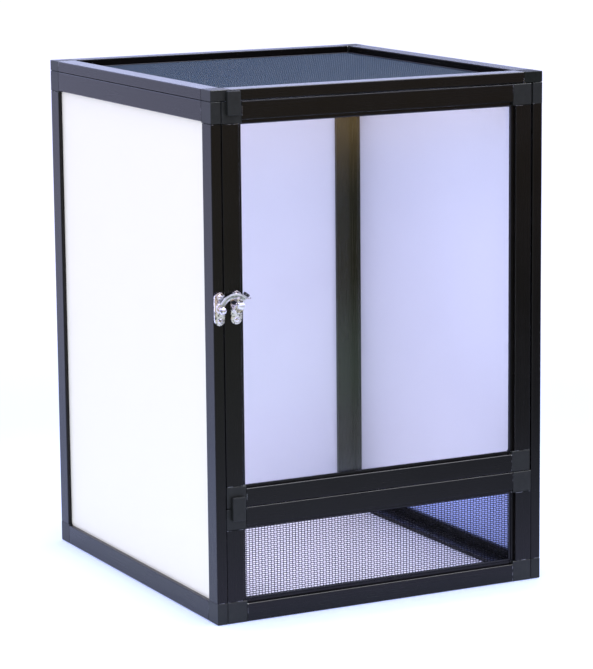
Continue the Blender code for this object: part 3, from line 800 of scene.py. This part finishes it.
# %% [markdown]
# ## Crescent
# The crescent is cast in one with its hub: a band, a bright rim along its outer edge, a
# web down to the hub, and a tail with a dark thumb pad. Its plain solid is too simple for
# a picture from near by, so all of it is made again. Band, rims and pad are small rounded
# sections spun about the crescent's own centre, which lies below and to the left of the
# pivot, so that turning the crescent draws the door in.

# %% A spun section
PIVOT, _ = middle_and_size("latch_rivet")
PIVOT.y = FRONT_Y
print("the pivot stands at", [round(value, 4) for value in PIVOT])


def spun_section(inner, outer, low, high, start, end, steps):
    # a rounded section between two radii and two heights, spun from one angle to the other
    bm = bmesh.new()
    bmesh.ops.create_grid(bm, x_segments=1, y_segments=1, size=0.5)
    bmesh.ops.scale(bm, verts=bm.verts, vec=(outer - inner, high - low, 1.0))
    bmesh.ops.bevel(
        bm, geom=bm.verts[:], offset=min(outer - inner, high - low) * 0.3, segments=2, profile=0.5,
        affect="VERTICES", material=-1,
    )
    turn_about(bm, Matrix.Rotation(pi / 2, 3, "X"))
    move(bm, ((outer + inner) / 2, 0.0, (low + high) / 2))
    turn_about(bm, Matrix.Rotation(radians(start), 3, "Z"))
    bmesh.ops.spin(
        bm, geom=bm.verts[:] + bm.edges[:] + bm.faces[:], cent=(0, 0, 0), axis=(0, 0, 1),
        angle=radians(end - start), steps=steps, use_merge=False,
    )
    bmesh.ops.recalc_face_normals(bm, faces=bm.faces)
    return bm


# %% Parts of the crescent
# radii from the crescent's centre, and heights in front of the door
CRESCENT_CENTRE = (-0.0045, -0.0033)
BAND_INNER = 0.0148
BAND_OUTER = 0.0204
RIM_INNER = 0.0186
RIM_OUTER = 0.0207
LOWER_RIM_OUTER = 0.0156
PAD_INNER = 0.0211
PAD_OUTER = 0.0245
BAND_BACK = 0.0051
BAND_FRONT = 0.0084
PAD_FRONT = 0.0122
ON_PIVOT = (0.0, 0.0)


def add_to_crescent(name, bm, finish, centre=CRESCENT_CENTRE):
    print(name, "has", open_edges(bm), "open edges")
    move(bm, (*centre, 0.0))
    stand_up(bm, PIVOT)
    add_piece(f"latch_crescent_{name}", bm, finish, "latch", ("latch_cam",))


band = spun_section(BAND_INNER, BAND_OUTER, BAND_BACK, BAND_FRONT - 0.0006, 46, 153, 28)
rim = spun_section(RIM_INNER, RIM_OUTER, BAND_FRONT - 0.0008, BAND_FRONT + 0.0008, 42, 153, 28)
lower_rim = spun_section(BAND_INNER, LOWER_RIM_OUTER, BAND_FRONT - 0.0008, BAND_FRONT, 50, 150, 28)
pad = spun_section(PAD_INNER, PAD_OUTER, BAND_FRONT - 0.0010, PAD_FRONT, 47, 62, 6)
add_to_crescent("band", band, band_finish)
add_to_crescent("rim", rim, knob_finish)
add_to_crescent("lower_rim", lower_rim, plated_finish)
add_to_crescent("pad", pad, pad_reflection_finish)
web = rounded_bar(size=(0.0044, 0.0080, 0.0026), place=(0.0002, 0.0092, 0.0067), rounding=0.0005)
add_to_crescent("web", web, plated_finish, ON_PIVOT)
tail = rounded_bar(size=(0.0056, 0.0018, 0.0030), place=(0.0113, 0.0109, 0.0096), rounding=0.0005)
add_to_crescent("tail", tail, plated_finish, ON_PIVOT)

# %% [markdown]
# ## Screws
# The keeper and the base are each held by two screws with a cross recess. The recess could
# be a dark patch on a dome, but it catches the light, so it is cut: the head is a profile
# spun into a low dome, and a Boolean modifier takes the cross out of it.

# %% A body turned from a profile
def turned(points, steps):
    # a closed body turned about Z from a profile of radius and height that ends on the axis
    bm = bmesh.new()
    verts = [bm.verts.new((radius, 0.0, height)) for radius, height in points]
    edges = [bm.edges.new(pair) for pair in zip(verts, verts[1:])]
    bmesh.ops.spin(
        bm, geom=verts + edges, cent=(0, 0, 0), axis=(0, 0, 1), angle=2 * pi, steps=steps,
        use_merge=True,
    )
    bmesh.ops.remove_doubles(bm, verts=bm.verts, dist=0.000002)
    bmesh.ops.recalc_face_normals(bm, faces=bm.faces)
    return bm


def dome(radius, base, rise, share, steps):
    # points of a head: its seat, its upright side and its domed end
    side = rise * (1 - share)
    points = [(0.0, base), (radius, base)]
    for step in range(steps):
        angle = pi / 2 * step / steps
        points.append((radius * cos(angle), base + side + rise * share * sin(angle)))
    return points + [(0.0, base + rise)]


# %% A screw head with its recess
SCREW_RADIUS = 0.0030
SCREW_RISE = 0.0013
SLOT_WIDTH = 0.0008
SLOT_DEPTH = 0.0011


def cut_out(body, cutter):
    # the Boolean modifier works on objects, so both meshes get one for a moment
    objects = []
    for label, bm in (("body", body), ("cutter", cutter)):
        mesh = bpy.data.meshes.new(label)
        bm.to_mesh(mesh)
        bm.free()
        thing = bpy.data.objects.new(label, mesh)
        bpy.context.collection.objects.link(thing)
        objects.append(thing)
    modifier = objects[0].modifiers.new("recess", "BOOLEAN")
    modifier.operation = "DIFFERENCE"
    modifier.solver = "EXACT"
    modifier.use_self = True
    modifier.object = objects[1]
    result = bmesh.new()
    result.from_object(objects[0], bpy.context.evaluated_depsgraph_get())
    for thing in objects:
        bpy.data.objects.remove(thing, do_unlink=True)
    return result


def screw_head(turn):
    head = turned(dome(SCREW_RADIUS, 0.0, SCREW_RISE, 0.75, 5), 24)
    cutter = bmesh.new()
    for angle in (turn, turn + pi / 2):
        bar = bmesh.ops.create_cube(cutter, size=1.0)["verts"]
        bmesh.ops.scale(cutter, verts=bar, vec=(SCREW_RADIUS * 1.15, SLOT_WIDTH, SLOT_DEPTH))
        bmesh.ops.rotate(cutter, verts=bar, cent=(0, 0, 0), matrix=Matrix.Rotation(angle, 3, "Z"))
    move(cutter, (0.0, 0.0, SCREW_RISE))
    return cut_out(head, cutter)


# %% Drive the screws
# above and below the middle of each plate
SCREW_HEIGHT = 0.0134
SCREW_SUNK = 0.0002

for plate, body, turn, rise in (("keeper", "cabinet", 0.9, KEEPER_RISE), ("base", "door", 0.3, 0.0)):
    middle, _ = middle_and_size(f"latch_{plate}")
    for label, side in (("upper", 1), ("lower", -1)):
        # no two screws stop at the same turn
        screw = screw_head(turn + side)
        print(plate, label, "screw has", open_edges(screw), "open edges")
        move(screw, (0.0, side * SCREW_HEIGHT, PLATE_FRONT + rise - SCREW_SUNK))
        stand_up(screw, (middle.x, FRONT_Y, middle.z))
        add_piece(f"latch_{plate}_screw_{label}", screw, plated_finish, body)

# %% [markdown]
# ## Knob, rivet and boss
# The crescent's hub turns under a washer on a rivet, and a thumb knob stands on the hub, a little off the
# pivot, where it catches the light. A low boss on the keeper carries the lug. Beside the hub, a black disc
# on the base is painted shade, where a hollow shows dark. All could start as cylinders, but their edges
# are broken or domed, so each is a short profile of radius and height, turned once around. The knob is
# then made oval.

# %% Profiles with broken edges
def ring_profile(inner, outer, low, high, edge):
    # a closed profile with broken outer edges, which starts and ends at the same point
    return [
        (inner, low), (outer - edge, low), (outer, low + edge), (outer, high - edge),
        (outer - edge, high), (inner, high), (inner, low),
    ]


def disc_profile(radius, low, high, edge):
    return [
        (0.0, low), (radius - edge, low), (radius, low + edge), (radius, high - edge),
        (radius - edge, high), (0.0, high),
    ]


# %% Knob and hub
KNOB_RADIUS = 0.0050
KNOB_SEAT = 0.0092
KNOB_RISE = 0.0035
KNOB_PLACE = (0.0027, 0.0026)
HUB_RADIUS = 0.0052
HUB_BORE = 0.0026

knob = turned(dome(KNOB_RADIUS, KNOB_SEAT, KNOB_RISE, 0.75, 8), 40)
bmesh.ops.scale(knob, verts=knob.verts, vec=(1.0, 0.8, 1.0))
add_to_crescent("knob", knob, knob_finish, KNOB_PLACE)
hub = turned(ring_profile(HUB_BORE, HUB_RADIUS, BAND_BACK, BAND_FRONT - 0.0004, 0.0004), 40)
add_to_crescent("hub", hub, plated_finish, ON_PIVOT)

# %% Washer, rivet, painted hollow shade and boss
washer = ring_profile(HUB_BORE, 0.0058, 0.0081, 0.0090, 0.0003)
shank = disc_profile(0.0022, PLATE_FRONT, 0.0089, 0.0002)
# painted shade: a black disc stands in for the shade of a hollow in the base
hollow_shade = disc_profile(0.0023, 0.0040, 0.00485, 0.0001)
boss = disc_profile(0.0056, PLATE_FRONT, 0.0049, 0.0006)


def add_round(name, profile, place, body, replaced, finish=plated_finish):
    bm = turned(profile, 36)
    print(name, "has", open_edges(bm), "open edges")
    move(bm, (*place, 0.0))
    stand_up(bm, PIVOT)
    add_piece(name, bm, finish, body, (replaced,))


add_round("latch_washer", washer, ON_PIVOT, "door", "latch_rivet")
add_round("latch_rivet_shank", shank, ON_PIVOT, "door", "latch_rivet")
# the black disc that paints in the hollow's shade beside the hub
add_round("latch_base_hollow_shade", hollow_shade, (-0.0042, 0.0064), "door", "latch_base", bead_finish)
add_round("latch_keeper_boss", boss, (-0.0207, 0.0008), "cabinet", "latch_keeper")
